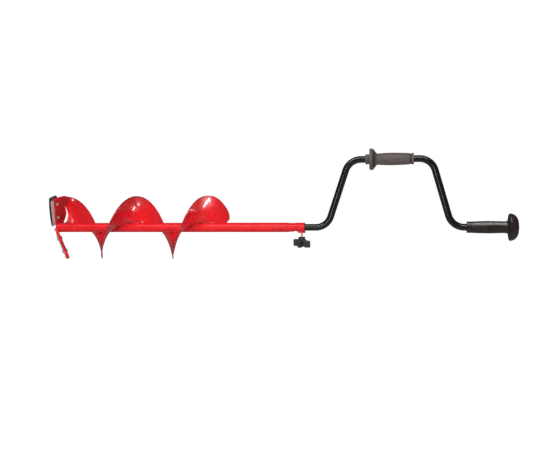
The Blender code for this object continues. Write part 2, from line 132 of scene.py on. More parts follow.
class Finish:
    """A material under construction: its nodes read the piece's own coordinates, in metres."""

    def __init__(self, name, colour, roughness, metallic=0.0):
        self.made = bpy.data.materials.new(name)
        self.made.use_nodes = True
        self.tree = self.made.node_tree
        self.shader = self.tree.nodes["Principled BSDF"]
        self.set("Base Color", (*colour, 1.0))
        self.set("Roughness", roughness)
        self.set("Metallic", metallic)
        self.place = self.node("TexCoord").outputs["Object"]
        self.height = None

    def set(self, socket, value):
        self.shader.inputs[socket].default_value = value

    def node(self, kind, **settings):
        made = self.tree.nodes.new("ShaderNode" + kind)
        for key, value in settings.items():
            setattr(made, key, value)
        return made

    def wire(self, source, target):
        self.tree.links.new(source, target)

    def stretched(self, scale):
        """The coordinates, multiplied along each axis."""
        mapping = self.node("Mapping")
        mapping.inputs["Scale"].default_value = scale
        self.wire(self.place, mapping.inputs["Vector"])
        return mapping.outputs["Vector"]

    def noise(self, scale, detail=3.0, stretch=None, roughness=0.55):
        made = self.node("TexNoise")
        made.inputs["Scale"].default_value = scale
        made.inputs["Detail"].default_value = detail
        made.inputs["Roughness"].default_value = roughness
        self.wire(self.stretched(stretch) if stretch else self.place, made.inputs["Vector"])
        return made.outputs["Fac"]

    def cells(self, scale):
        made = self.node("TexVoronoi")
        made.inputs["Scale"].default_value = scale
        self.wire(self.place, made.inputs["Vector"])
        return made.outputs["Distance"]

    def remap(self, source, low, high, to_low=0.0, to_high=1.0):
        made = self.node("MapRange")
        made.interpolation_type = "SMOOTHSTEP"
        for key, value in zip(("From Min", "From Max", "To Min", "To Max"), (low, high, to_low, to_high)):
            made.inputs[key].default_value = value
        self.wire(source, made.inputs["Value"])
        return made.outputs["Result"]

    def maths(self, operation, a, b):
        made = self.node("Math", operation=operation)
        for socket, value in zip(made.inputs, (a, b)):
            if isinstance(value, (int, float)):
                socket.default_value = value
            else:
                self.wire(value, socket)
        return made.outputs["Value"]

    def split(self):
        made = self.node("SeparateXYZ")
        self.wire(self.place, made.inputs["Vector"])
        return made.outputs

    def axis_radius(self, axes):
        """Distance from the axis that is left out of axes, such as "YZ" for the X axis."""
        places = self.split()
        squares = [self.maths("MULTIPLY", places[a], places[a]) for a in axes]
        return self.maths("SQRT", self.maths("ADD", *squares), 0.5)

    def band(self, axis, start, end, soft=0.0008):
        """1 between the two places along this axis, 0 outside them."""
        place = self.split()[axis]
        rise = self.remap(place, start - soft, start + soft)
        fall = self.remap(place, end - soft, end + soft, 1.0, 0.0)
        return self.maths("MULTIPLY", rise, fall)

    def near(self, spot, reach_in, reach_out):
        """1 inside the first distance of this place, falling to 0 at the second."""
        measure = self.node("VectorMath", operation="DISTANCE")
        self.wire(self.place, measure.inputs[0])
        measure.inputs[1].default_value = spot
        return self.remap(measure.outputs["Value"], reach_out, reach_in)

    def tint(self, mask, colour, share=1.0):
        """Mixes up to this share of the colour over the base colour where the mask is 1."""
        if share < 1.0:
            mask = self.maths("MULTIPLY", mask, share)
        mix = self.node("Mix", data_type="RGBA")
        target = self.shader.inputs["Base Color"]
        if target.is_linked:
            self.wire(target.links[0].from_socket, mix.inputs[MIX_A])
        else:
            mix.inputs[MIX_A].default_value = target.default_value
        mix.inputs[MIX_B].default_value = (*colour, 1.0)
        self.wire(mask, mix.inputs[MIX_FACTOR])
        self.wire(mix.outputs[MIX_RESULT], target)

    def mottle(self, source, low, high, share, colour):
        """Mixes in up to this share of the colour as the source rises from low to high."""
        self.tint(self.remap(source, low, high, 0.0, share), colour)

    def roughen(self, source, low, high):
        """Roughness that varies between these values with a noise."""
        self.wire(self.remap(source, NOISE_LOW, NOISE_HIGH, low, high), self.shader.inputs["Roughness"])

    def bump(self, source, distance, strength=1.0):
        """Adds relief of this height in metres over what is there already."""
        made = self.node("Bump")
        made.inputs["Strength"].default_value = strength
        made.inputs["Distance"].default_value = distance
        self.wire(source, made.inputs["Height"])
        if self.height:
            self.wire(self.height, made.inputs["Normal"])
        self.height = made.outputs["Normal"]
        self.wire(self.height, self.shader.inputs["Normal"])

    def coat(self, weight, roughness):
        self.set("Coat Weight", weight)
        self.set("Coat Roughness", roughness)


RED = (0.68, 0.0100, 0.016)
DEEP_RED = (0.40, 0.005, 0.009)
BARE_STEEL = (0.42, 0.40, 0.39)


def red_paint():
    """Gloss powder coat on the tube and the cutting head: orange peel, and slightly uneven colour."""
    made = Finish("red_powder_coat", RED, 0.34)
    made.mottle(made.noise(34.0), 0.42, 0.75, 0.30, DEEP_RED)
    made.roughen(made.noise(90.0), 0.28, 0.42)
    made.set("Specular IOR Level", 0.25)
    made.coat(0.06, 0.20)
    made.bump(made.noise(420.0, 2.0), 0.00006)
    made.bump(made.noise(60.0, 2.0), 0.00012)
    return made


def bracket_paint():
    """The brackets' coat: a darker copy of the tube's red as painted shade, and a near-black painted shade
    patch by the tube.
    """
    # Painted shade: the base is a darker copy of the tube's red.
    made = Finish("red_powder_coat_bracket", (0.52, 0.008, 0.013), 0.34)
    made.mottle(made.noise(34.0), 0.42, 0.75, 0.30, DEEP_RED)
    # Painted shade: a near-black patch on each bracket beside the tube.
    shade_core, shade_reach = 0.0045, 0.0120
    for side in (1.0, -1.0):
        painted_shade_patch = made.near((0.0175, -0.0010 * side, 0.0265 * side), shade_core, shade_reach)
        made.tint(painted_shade_patch, (0.055, 0.003, 0.004), 0.9)
    made.roughen(made.noise(90.0), 0.28, 0.42)
    made.set("Specular IOR Level", 0.30)
    made.coat(0.15, 0.15)
    made.bump(made.noise(420.0, 2.0), 0.00006)
    return made


def flight_paint():
    """The flighting's coat: painted shade darkens the rim and the root, and ice has chipped the very edge
    to bare steel.
    """
    made = Finish("red_powder_coat_flight", RED, 0.30)
    made.mottle(made.noise(26.0), 0.42, 0.78, 0.34, DEEP_RED)
    # Painted shade: a darker red band along the rim.
    rim = made.remap(made.axis_radius("YZ"), FLIGHT_R - 0.0034, FLIGHT_R - 0.0012)
    made.tint(rim, (0.28, 0.006, 0.012), 0.85)
    # Painted shade: dark red on the sheet close to the tube.
    root_shade = made.remap(made.axis_radius("YZ"), TUBE_R + 0.0075, TUBE_R + 0.0008)
    made.tint(root_shade, (0.20, 0.003, 0.006), 0.75)
    chips = made.remap(made.noise(240.0, 4.0), 0.60, 0.66)
    edge = made.remap(made.axis_radius("YZ"), FLIGHT_R - 0.0009, FLIGHT_R - 0.0002)
    made.tint(made.maths("MULTIPLY", chips, edge), BARE_STEEL)
    made.roughen(made.noise(70.0), 0.22, 0.34)
    made.set("Specular IOR Level", 0.35)
    made.coat(0.5, 0.07)
    made.bump(made.noise(380.0, 2.0), 0.00005)
    made.bump(made.noise(24.0, 2.0), 0.00010)
    return made


def weld_paint():
    """The coat over the weld beads, a little brighter and glossier."""
    made = Finish("red_powder_coat_weld", (0.72, 0.010, 0.015), 0.26)
    made.roughen(made.noise(300.0), 0.18, 0.36)
    made.coat(0.6, 0.08)
    made.bump(made.noise(900.0, 3.0), 0.00012)
    return made


def root_shade_paint():
    """Painted shade for the corners between the sheet and the tube: near-black red with a lighter mottle.
    """
    made = Finish("painted_root_shade_coat", (0.085, 0.003, 0.005), 0.42)
    made.tint(made.remap(made.noise(70.0, 4.0), 0.45, 0.70), (0.30, 0.004, 0.008))
    made.roughen(made.noise(200.0), 0.34, 0.56)
    made.bump(made.noise(500.0, 3.0), 0.00010)
    return made


def black_paint():
    """Gloss black enamel of the crank, with faint handling scuffs."""
    made = Finish("gloss_black_enamel", (0.006, 0.0056, 0.0052), 0.20)
    scuffs = made.remap(made.noise(55.0, 6.0, (0.25, 1.0, 1.0)), 0.58, 0.72, 0.0, 0.35)
    made.tint(scuffs, (0.020, 0.019, 0.018))
    made.roughen(made.noise(38.0, 5.0), 0.12, 0.22)
    made.set("Specular IOR Level", 0.40)
    made.coat(0.35, 0.06)
    made.bump(made.noise(500.0, 2.0), 0.00002)
    return made


def blade_steel():
    """Hardened blade steel, ground along its length, with painted shade on its outer corner."""
    made = Finish("ground_blade_steel", (0.66, 0.67, 0.66), 0.40, 0.40)
    grain = made.noise(260.0, 5.0, (3.0, 0.35, 0.35))
    made.mottle(grain, 0.50, 0.75, 0.45, (0.40, 0.40, 0.39))
    # Painted shade: near black on the blade's outer corner.
    painted_shade_corner = made.remap(made.axis_radius("YZ"), CUT_R - 0.0115, CUT_R - 0.0095)
    made.tint(painted_shade_corner, (0.035, 0.038, 0.036), 0.9)
    made.roughen(grain, 0.34, 0.50)
    made.bump(grain, 0.00003)
    return made


def painted_reflection_bevel_steel():
    """The blade's sharpened bevel: fine-honed, its near-black base a painted dark reflection."""
    # Painted reflection: the near-black base darkens the bevel as a dark reflection would.
    made = Finish("bevel_steel_painted_reflection", (0.045, 0.060, 0.055), 0.22, 1.0)
    grain = made.noise(420.0, 4.0, (2.5, 0.3, 0.3))
    made.mottle(grain, 0.50, 0.80, 0.35, (0.14, 0.16, 0.15))
    made.roughen(grain, 0.18, 0.34)
    made.bump(grain, 0.00003)
    return made


def zinc_steel():
    """Bright zinc plate with the faint mottle of small fasteners."""
    made = Finish("zinc_plate", (0.68, 0.68, 0.66), 0.32, 0.70)
    mottle = made.noise(600.0, 4.0)
    made.mottle(mottle, 0.45, 0.75, 0.4, (0.46, 0.47, 0.48))
    made.roughen(mottle, 0.24, 0.44)
    made.bump(made.noise(1500.0, 2.0), 0.00002)
    return made


def grip_rubber():
    """Warm grey-brown rubber with a fine grain, and painted shade: near black behind the flange and in the
    end groove.
    """
    made = Finish("warm_grey_rubber", (0.080, 0.063, 0.059), 0.50)
    made.mottle(made.noise(36.0, 4.0), 0.42, 0.72, 0.40, (0.058, 0.044, 0.042))
    made.mottle(made.noise(260.0, 3.0), 0.60, 0.85, 0.25, (0.12, 0.10, 0.095))
    # Painted shade: near black on the cone behind the flange and in the end groove.
    for start, end in ((0.0180, 0.0245), (0.1088, 0.1132)):
        groove = made.band("X", MIDDLE_GRIP_START + start, MIDDLE_GRIP_START + end)
        made.tint(groove, (0.010, 0.008, 0.008), 0.9)
    made.roughen(made.noise(130.0), 0.52, 0.72)
    made.bump(made.cells(1500.0), 0.00005, 0.5)
    made.set("Sheen Weight", 0.15)
    return made


def palm_plastic():
    """Dark brown-black satin plastic, polished by the hand."""
    made = Finish("satin_dark_plastic", (0.016, 0.0085, 0.0085), 0.36)
    made.mottle(made.noise(60.0, 4.0), 0.45, 0.75, 0.6, (0.026, 0.017, 0.017))
    made.roughen(made.noise(90.0, 4.0), 0.26, 0.40)
    made.bump(made.noise(1100.0, 2.0), 0.00003)
    return made


def knob_plastic():
    """Matt glass-filled nylon of the clamp knob."""
    made = Finish("matt_nylon", (0.026, 0.025, 0.023), 0.50)
    made.mottle(made.noise(220.0, 5.0), 0.45, 0.75, 0.6, (0.044, 0.042, 0.039))
    made.roughen(made.noise(180.0), 0.48, 0.66)
    made.bump(made.noise(1400.0, 3.0), 0.00007)
    return made


def plug_plastic():
    """Black moulding of the crank's guide, inside the tube."""
    made = Finish("black_moulding", (0.020, 0.020, 0.020), 0.5)
    made.mottle(made.noise(160.0), 0.45, 0.75, 0.5, (0.035, 0.035, 0.035))
    made.roughen(made.noise(200.0), 0.42, 0.60)
    made.bump(made.noise(900.0, 2.0), 0.00005)
    return made


FINISHES = {
    "red": red_paint(),
    "flight": flight_paint(),
    "bracket": bracket_paint(),
    "weld": weld_paint(),
    "root_shade": root_shade_paint(),
    "black": black_paint(),
    "blade": blade_steel(),
    "bevel": painted_reflection_bevel_steel(),
    "zinc": zinc_steel(),
    "rubber": grip_rubber(),
    "palm": palm_plastic(),
    "knob": knob_plastic(),
    "plug": plug_plastic(),
}


# ---- mesh helpers ----

FINE_WELD = 0.000002        # points nearer than this become one
BAKED_WELD = 0.000005
NEARLY_STRAIGHT = radians(84.0)    # half of a corner's angle, past which it isn't rounded
MOST_OF_SIDE = 0.45                     # the share of a side that one rounded corner may take


def in_scene(name, data):
    made = bpy.data.objects.new(name, data)
    bpy.context.scene.collection.objects.link(made)
    return made


def eased(t):
    """0 to 1 in a smooth step."""
    t = min(1.0, max(0.0, t))
    return t * t * (3.0 - 2.0 * t)


def placed(name, mesh, finishes, body, replaced=(), matrix=None):
    """An object for this mesh that rides on a body, and stands for the replaced CAD nodes."""
    if matrix is not None:
        mesh.transform(matrix)
    made = in_scene(name, mesh)
    mesh.materials.clear()
    for finish in finishes:
        mesh.materials.append(FINISHES[finish].made)
    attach(made, body)
    if replaced:
        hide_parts(*replaced)
    return made


def on_auger(name, mesh, finish, replaced=()):
    """A red piece of the auger body."""
    placed(name, mesh, [finish], "auger", replaced)


def smooth(mesh, degrees=32.0):
    mesh.shade_smooth()
    mesh.set_sharp_from_angle(angle=radians(degrees))


def mesh_of(name, points, faces, degrees=32.0):
    mesh = bpy.data.meshes.new(name)
    mesh.from_pydata(points, [], faces)
    tidy = bmesh.new()
    tidy.from_mesh(mesh)
    bmesh.ops.remove_doubles(tidy, verts=tidy.verts, dist=FINE_WELD)
    bmesh.ops.recalc_face_normals(tidy, faces=tidy.faces)
    tidy.to_mesh(mesh)
    tidy.free()
    smooth(mesh, degrees)
    return mesh


def stacked(name, rings, closed=False, degrees=32.0):
    """A solid from rings with equal numbers of points. An open stack has its two ends capped."""
    count = len(rings[0])
    points = [point for ring in rings for point in ring]
    pairs = list(zip(range(len(rings)), range(1, len(rings))))
    if closed:
        pairs.append((len(rings) - 1, 0))
    faces = []
    for low, high in pairs:
        for i in range(count):
            j = (i + 1) % count
            faces.append((low * count + i, low * count + j, high * count + j, high * count + i))
    if not closed:
        faces.append(tuple(range(count)))
        faces.append(tuple((len(rings) - 1) * count + i for i in range(count)))
    return mesh_of(name, points, faces, degrees)


def polar_ring(radius, height, steps):
    """A ring round local Z. The radius is a number, or a function of the angle."""
    ring = []
    for i in range(steps):
        angle = 2 * pi * i / steps
        r = radius(angle) if callable(radius) else radius
        ring.append((r * cos(angle), r * sin(angle), height))
    return ring


def ring_round_x(radius, x, steps):
    return [(x, a, b) for a, b, _ in polar_ring(radius, x, steps)]


def rounded_line(points, radius, steps=4, closed=False):
    """A path in two dimensions with its corners rounded, as far as their sides leave room."""
    points = [Vector(p) for p in points]
    count = len(points)
    spots = range(count) if closed else range(1, count - 1)
    made = [] if closed else [points[0]]
    for i in spots:
        before, corner, after = points[i - 1], points[i], points[(i + 1) % count]
        back, on = before - corner, after - corner
        half = back.angle(on) / 2
        if half > NEARLY_STRAIGHT:
            made.append(corner)
            continue
        cut = min(radius / math.tan(half), MOST_OF_SIDE * back.length, MOST_OF_SIDE * on.length)
        start, end = corner + back.normalized() * cut, corner + on.normalized() * cut
        for k in range(steps + 1):
            t = k / steps
            made.append(start * (1 - t) ** 2 + corner * (2 * t * (1 - t)) + end * t**2)
    if not closed:
        made.append(points[-1])
    return made


def turned(name, profile, radius, steps=72, closed=False, corner_steps=4, degrees=32.0):
    """A profile of (radius, height) points, with its corners rounded, spun about local Z."""
    line = rounded_line(profile, radius, corner_steps, closed)
    return stacked(name, [polar_ring(r, z, steps) for r, z in line], closed, degrees)


def swept(name, route, radius, steps=16, degrees=50.0):
    """A tube along the route. The radius is a number, or a function of the point's number."""
    route = [Vector(p) for p in route]
    rings, side = [], None
    for i, spot in enumerate(route):
        ahead = (route[min(i + 1, len(route) - 1)] - route[max(i - 1, 0)]).normalized()
        if side is None:
            side = ahead.orthogonal().normalized()
        side = (side - ahead * side.dot(ahead)).normalized()
        other = ahead.cross(side)
        r = radius(i) if callable(radius) else radius
        rings.append([spot + side * a + other * b for a, b, _ in polar_ring(r, 0.0, steps)])
    return stacked(name, rings, degrees=degrees)


def joined(name, meshes):
    """Several meshes as one."""
    whole = bmesh.new()
    for part in meshes:
        whole.from_mesh(part)
        bpy.data.meshes.remove(part)
    mesh = bpy.data.meshes.new(name)
    whole.to_mesh(mesh)
    whole.free()
    return mesh


def circle(radius, centre=(0.0, 0.0), steps=28):
    return [(centre[0] + a, centre[1] + b) for a, b, _ in polar_ring(radius, 0.0, steps)]


def plate(name, outlines, thickness):
    """A flat plate from local Z = 0 up. The first outline is its edge, and the rest are holes."""
    curve = bpy.data.curves.new(name, "CURVE")
    curve.dimensions = "2D"
    curve.fill_mode = "BOTH"
    curve.extrude = thickness / 2
    for outline in outlines:
        spline = curve.splines.new("POLY")
        spline.points.add(len(outline) - 1)
        for point, (x, y) in zip(spline.points, outline):
            point.co = (x, y, 0.0, 1.0)
        spline.use_cyclic_u = True
    mesh = baked(in_scene(name, curve))
    mesh.transform(at(z=thickness / 2))
    return mesh


def baked(holder):
    """The object's shape with its modifiers as a welded mesh. The object is removed."""
    bpy.context.view_layer.update()
    ready = holder.evaluated_get(bpy.context.evaluated_depsgraph_get())
    mesh = bpy.data.meshes.new_from_object(ready)
    bpy.data.objects.remove(holder, do_unlink=True)
    shell = bmesh.new()
    shell.from_mesh(mesh)
    bmesh.ops.remove_doubles(shell, verts=shell.verts, dist=BAKED_WELD)
    shell.to_mesh(mesh)
    shell.free()
    return mesh


def rounded(holder, width, segments, angle):
    """Rounds the object's edges that are sharper than this angle."""
    step = holder.modifiers.new("round", "BEVEL")
    step.width, step.segments = width, segments
    step.limit_method, step.angle_limit = "ANGLE", radians(angle)


def worked(mesh, cutters=(), bevel=0.0, segments=3, angle=30.0):
    """The mesh with the cutters taken away from it, and its sharp edges then rounded."""
    holder = in_scene("worked", mesh)
    tools = [in_scene("tool", cutter) for cutter in cutters]
    for tool in tools:
        step = holder.modifiers.new("cut", "BOOLEAN")
        step.object = tool
    if bevel:
        rounded(holder, bevel, segments, angle)
    made = baked(holder)
    for tool in tools:
        bpy.data.objects.remove(tool, do_unlink=True)
    return made


def cylinder(radius, low, high, matrix, steps=48):
    mesh = stacked("cutter", [polar_ring(radius, low, steps), polar_ring(radius, high, steps)])
    mesh.transform(matrix)
    return mesh


# ---- auger tube ----

SEAM_X, SEAM_DEPTH, SEAM_WIDTH = 0.6225, 0.00035, 0.0006
NECK_IN_X, NECK_IN_LENGTH = 0.6235, 0.0050
NECK_OUT_X, NECK_OUT_LENGTH = 0.6425, 0.0040
PINCH_X, PINCH_DEPTH, PINCH_WIDTH, PINCH_TURN = 0.6445, 0.0022, 0.0052, 0.25
LIP_LENGTH, FOOT_LENGTH, END_SLOPE = 0.0008, 0.0006, 0.6


def tube_outline(x):
    """The tube's outer radius along its length: a seam, the neck, the clamp socket and softened ends."""
    seam = SEAM_DEPTH * math.exp(-(((x - SEAM_X) / SEAM_WIDTH) ** 2))
    neck = (NECK_R - TUBE_R) * eased((x - NECK_IN_X) / NECK_IN_LENGTH)
    socket = (SOCKET_R - NECK_R) * eased((x - NECK_OUT_X) / NECK_OUT_LENGTH)
    lip = max(0.0, x - (TUBE_LENGTH - LIP_LENGTH))
    foot = max(0.0, FOOT_LENGTH - x)
    return TUBE_R + neck + socket - seam - END_SLOPE * lip - END_SLOPE * foot


def pinch(x, angle):
    """How deep the clamp's forming tool has pressed in the underside, just before the socket."""
    along = math.exp(-(((x - PINCH_X) / PINCH_WIDTH) ** 2))
    below = max(0.0, -sin(angle + PINCH_TURN)) ** 3
    return PINCH_DEPTH * along * below


def auger_tube():
    """The tube's skin and bore, with rings close together at the seam, neck and socket."""
    steps, fine_x, fine_step = 96, 0.6205, 0.0004
    coarse = [0.0, 0.0003, 0.0006, 0.002] + [0.02 * i for i in range(1, 31)] + [0.612, 0.618]
    fine = [fine_x + fine_step * i for i in range(int((TUBE_LENGTH - fine_x) / fine_step))]
    rings = [
        ring_round_x(lambda angle, x=x: tube_outline(x) - pinch(x, angle), x, steps)
        for x in coarse + fine + [TUBE_LENGTH]
    ]
    bore = ((TUBE_LENGTH, TUBE_BORE_R + 0.0003), (TUBE_LENGTH - 0.0003, TUBE_BORE_R), (0.0, TUBE_BORE_R))
    rings += [ring_round_x(radius, x, steps) for x, radius in bore]
    mesh = stacked("auger_tube_skin", rings, closed=True)
    hole = cylinder(THUMB_R + GAP, -0.016, -0.004, at(THUMB_X), 32)
    mesh = worked(mesh, [hole])
    smooth(mesh, 40.0)
    on_auger("auger_tube_skin", mesh, "red", ["auger_tube"])


def lower_end_plug():
    """Pressed plug in the tube's cutting end, slightly dished."""
    radius = TUBE_BORE_R - 0.0002
    profile = [(0.0035, 0.0010), (0.0065, 0.0004), (radius, 0.0004), (radius, 0.012)]
    mesh = turned("tube_end_disc", profile, 0.0006)
    mesh.transform(ALONG_X)
    on_auger("tube_end_disc", mesh, "red", ["lower_end_plug"])


def clamp_nut():
    """Oblong weld nut under the socket, softened at its edges, and the weld beads along its sides."""
    long, wide, height = 0.0195, 0.0110, 0.0019
    bead_y, bead_xs = 0.0050, [THUMB_X + mm / 1000 for mm in range(-9, 10)]
    corners = [(-long / 2, -wide / 2), (long / 2, -wide / 2), (long / 2, wide / 2), (-long / 2, wide / 2)]
    outline = rounded_line(corners, 0.0022, closed=True)
    nut = worked(plate("clamp_boss", [outline, circle(THUMB_R + 0.0002)], height), bevel=0.0005)
    nut.transform(at(THUMB_X, 0.0, -SOCKET_R - 0.0001 - height))
    beads = [weld_path([Vector((x, y, saddle(y))) for x in bead_xs], 0.0011) for y in (-bead_y, bead_y)]
    on_auger("clamp_boss", joined("clamp_boss", [nut, *beads]), "weld", ["clamp_nut"])


def saddle(y):
    """Height of the socket's underside at this sideways place."""
    return -sqrt(max(0.0, SOCKET_R**2 - y * y)) - 0.0002


# ---- fasteners ----


def hexagon(across_corners, turn=0.0):
    """Polar radius of a hexagon with this corner radius."""
    flat = across_corners * cos(pi / 6)

    def radius(angle):
        sector = (angle - turn) % (pi / 3)
        return flat / cos(sector - pi / 6)

    return radius


def hexagonal(name, corner, height, hole, turn_deg=0.0):
    """Hexagonal nut from local Z = 0 up, chamfered at both faces, with a countersunk hole."""
    shape = hexagon(corner, radians(turn_deg))
    flat = corner * cos(pi / 6)
    steps, face, sink = 72, 0.0002, 0.0004
    limits = [(0.0, flat * 0.94), (face, flat), (min(0.0009, height * 0.4), corner)]
    limits += [(height - z, limit) for z, limit in reversed(limits)]
    rings = [polar_ring(lambda a, limit=limit: min(shape(a), limit), z, steps) for z, limit in limits]
    bore = ((hole + sink, height), (hole, height - sink), (hole, sink), (hole + sink, 0.0))
    rings += [polar_ring(r, z, steps) for r, z in bore]
    return stacked(name, rings, closed=True, degrees=28.0)


def threaded(name, radius, pitch, low, high, depth=0.00035, steps=28, chamfer=0.0005):
    """Threaded rod along local Z, chamfered at its two ends."""
    per_turn = 8
    count = max(2, round((high - low) / pitch * per_turn))
    rings = []
    for i in range(count + 1):
        z = low + (high - low) * i / count
        from_end = min(z - low, high - z)
        taper = max(0.0, chamfer - from_end)

        def crest(angle, z=z, taper=taper):
            phase = (z / pitch - angle / (2 * pi)) % 1.0
            return radius - depth * abs(2 * phase - 1) - taper

        rings.append(polar_ring(crest, z, steps))
    return stacked(name, rings, degrees=60.0)


def button_head(name, radius, height, socket=0.0019):
    """Domed screw head with a hexagonal recess, from its seat at local Z = 0 down to -height."""
    steps, slopes = 48, np.radians([0, 15, 30, 45, 58, 68])
    dome = [(radius * cos(a), -height * (0.25 + 0.75 * sin(a))) for a in slopes]
    rings = [polar_ring(radius - 0.0002, 0.0, steps), polar_ring(radius, -0.0002, steps)]
    rings += [polar_ring(r, z, steps) for r, z in dome]
    shape = hexagon(socket)
    for z in (-height * 0.98, -height * 0.35):
        rings.append(polar_ring(shape, z, steps))
    return stacked(name, rings, degrees=28.0)


def blade_fasteners(side, number, centre, turn):
    """Button-head screw up through the blade and the bracket, and its nut, below the thread's end."""
    head_r, head_t, pitch, proud = 0.0052, 0.0026, 0.0010, 0.0012
    base = turn @ above(0.0) @ at(*centre)
    head = button_head("head", head_r, head_t)
    head.transform(at(z=-0.0001))
    shank = threaded("shank", SCREW_R, pitch, -0.0008, BLADE_T + BRACKET_T + BLADE_NUT_T + proud)
    name = f"screw_{side}{number}"
    mesh = joined(name, [head, shank])
    placed(name, mesh, ["zinc"], "auger", [f"blade_screw_{side}{number}"], base)
    nut = hexagonal(f"nut_{side}{number}", BLADE_NUT_R, BLADE_NUT_T, SCREW_R, 15.0 + 20.0 * number)
    seat = base @ at(z=BLADE_T + BRACKET_T + GAP + 0.0002)
    placed(nut.name, nut, ["zinc"], "auger", [f"blade_nut_{side}{number}"], seat)


# ---- flighting ----


def lead_edge_deg(radius):
    """Where the sheet starts at this radius: later near the tube, which leaves room for the brackets."""
    out = (radius - LEAD_CUT_R) / LEAD_CUT_SPAN
    return FLIGHT_LEAD_DEG + LEAD_CUT_DEG * (1.0 - out**2) if out < 1.0 else FLIGHT_LEAD_DEG


def tail_edge_deg(radius):
    """Where the sheet ends at this radius: its outer corner is rounded."""
    corner = TAIL_CORNER_R
    into = (radius - (FLIGHT_R - corner)) / corner
    if into <= 0.0:
        return FLIGHT_TAIL_DEG
    return FLIGHT_TAIL_DEG - math.degrees(corner / FLIGHT_R) * (1.0 - sqrt(max(0.0, 1.0 - into * into)))


def flight_sag(turn_deg):
    """How far the sheet lies back from a true helix at this turn."""
    return sum(
        depth * eased((turn_deg - start) / SAG_IN_DEG) * eased((end - turn_deg) / SAG_OUT_DEG)
        for start, end, depth in FLIGHT_SAGS
    )


def flight_point(turn_deg, radius):
    """The place on the sheet's middle surface at this turn and radius."""
    turn = radians(turn_deg)
    into = max(0.0, (FLIGHT_LEAD_DEG + FLIGHT_BEND_DEG - turn_deg) / FLIGHT_BEND_DEG)
    drop = FLIGHT_BEND_SLOPE * (FLIGHT_R - radius) * into * into
    cup = FLIGHT_CUP * (FLIGHT_R - radius) / (FLIGHT_R - TUBE_R)
    x = FLIGHT_TOP_X + FLIGHT_PITCH * turn_deg / 360.0 - drop - cup - flight_sag(turn_deg)
    return Vector((x, radius * sin(turn), radius * cos(turn)))


def flighting():
    """The helical sheet, fine enough to read as one smooth pressing, with its sheared edges rounded."""
    inner = TUBE_R - 0.0003
    radii = [inner, 0.014, 0.018, 0.023, 0.029, 0.035, 0.041, 0.047, 0.053, 0.058, 0.061, 0.065, 0.069,
             0.072, 0.0745, 0.0765, 0.078, 0.0795, 0.0808, 0.0818, FLIGHT_R]
    columns = 420
    points = []
    for radius in radii:
        lead, tail = lead_edge_deg(radius), tail_edge_deg(radius)
        points += [flight_point(lead + (tail - lead) * i / columns, radius) for i in range(columns + 1)]
    row = columns + 1
    faces = []
    for k in range(len(radii) - 1):
        for i in range(columns):
            a = k * row + i
            faces.append((a, a + 1, a + row + 1, a + row))
    mesh = bpy.data.meshes.new("flight_sheet")
    mesh.from_pydata(points, [], faces)
    mesh.shade_smooth()
    made = placed("flight_sheet", mesh, ["flight"], "auger", ["flighting"])
    shell = made.modifiers.new("Sheet", "SOLIDIFY")
    shell.thickness = FLIGHT_SHEET
    shell.offset = 0.0
    shell.use_even_offset = True
    rounded(made, 0.0008, 3, 50.0)


def weld_path(path, radius, ripple=0.22, pitch=0.0021):
    """A weld bead along the path: rippled, and tapering in at both ends."""
    taper, blunt = 0.003, 0.0004
    lengths = [0.0]
    for a, b in zip(path, path[1:]):
        lengths.append(lengths[-1] + (Vector(b) - Vector(a)).length)
    whole = lengths[-1]

    def size(i):
        ends = min(1.0, (lengths[i] + blunt) / taper, (whole - lengths[i] + blunt) / taper)
        wave = abs(sin(pi * lengths[i] / pitch))
        return radius * sqrt(ends) * (1.0 - ripple + ripple * wave)

    return swept("bead", path, size, 12)


def flight_welds():
    """Stitch welds along the flighting's root, on the handle side and the cutting side."""
    beads = []
    first, spacing, length, stagger = 30, 52, 34, 13       # degrees
    count = int(length * 1.6)
    for side, offset in ((1.0, 0), (-1.0, stagger)):
        shift = Vector((side * (FLIGHT_SHEET / 2 + 0.0007), 0.0, 0.0))
        for k in range(14):
            start = first + spacing * k + offset
            turns = [start + length * i / count for i in range(count + 1)]
            beads.append(weld_path([flight_point(turn, TUBE_R + 0.0007) + shift for turn in turns], 0.0019))
    on_auger("flight_stitch_welds", joined("flight_stitch_welds", beads), "weld")


def flight_root_shade():
    """Narrow dark run along the corner between the tube and both faces of the sheet: painted shade where
    they meet.
    """
    runs, start, end = [], FLIGHT_LEAD_DEG + 4.0, FLIGHT_TAIL_DEG - 3.0
    count = int((end - start) / 2.0)
    for side in (1.0, -1.0):
        shift = Vector((side * (FLIGHT_SHEET / 2 + 0.0003), 0.0, 0.0))
        turns = [start + (end - start) * i / count for i in range(count + 1)]
        route = [flight_point(turn, TUBE_R + 0.0002) + shift for turn in turns]
        runs.append(swept("run", route, 0.0011, steps=10))
    on_auger("flight_root_shade_runs", joined("flight_root_shade_runs", runs), "root_shade")


# ---- cutting head ----


def blade_frame():
    """Blade a's own axes: local X back from the edge, Y out along it, Z up towards the handle."""
    along = (EDGE_OUTER - EDGE_INNER).normalized()
    level_back = Vector((0.0, -along.z, along.y)).normalized()
    if level_back.y < 0.0:
        level_back.negate()
    rake = radians(RAKE_DEG)
    back = level_back * cos(rake) + Vector((sin(rake), 0.0, 0.0))
    back = (back - along * back.dot(along)).normalized()
    up = back.cross(along)
    made = Matrix((back, along, up)).transposed().to_4x4()
    made.translation = EDGE_INNER
    return made


BLADE_FRAME = blade_frame()


def reach(back, radius, height=0.0):
    """How far out along the blade a line this far behind the edge meets a cylinder round the axis."""
    start = (BLADE_FRAME @ Vector((back, 0.0, height))).yz
    along = BLADE_FRAME.col[1].yz
    a, b, c = along.dot(along), start.dot(along), start.dot(start) - radius**2
    return (-b + sqrt(b * b - a * c)) / a


def above(height):
    return BLADE_FRAME @ at(z=height)


def bolt_holes(radius):
    return [circle(radius, centre) for centre in BLADE_BOLTS]


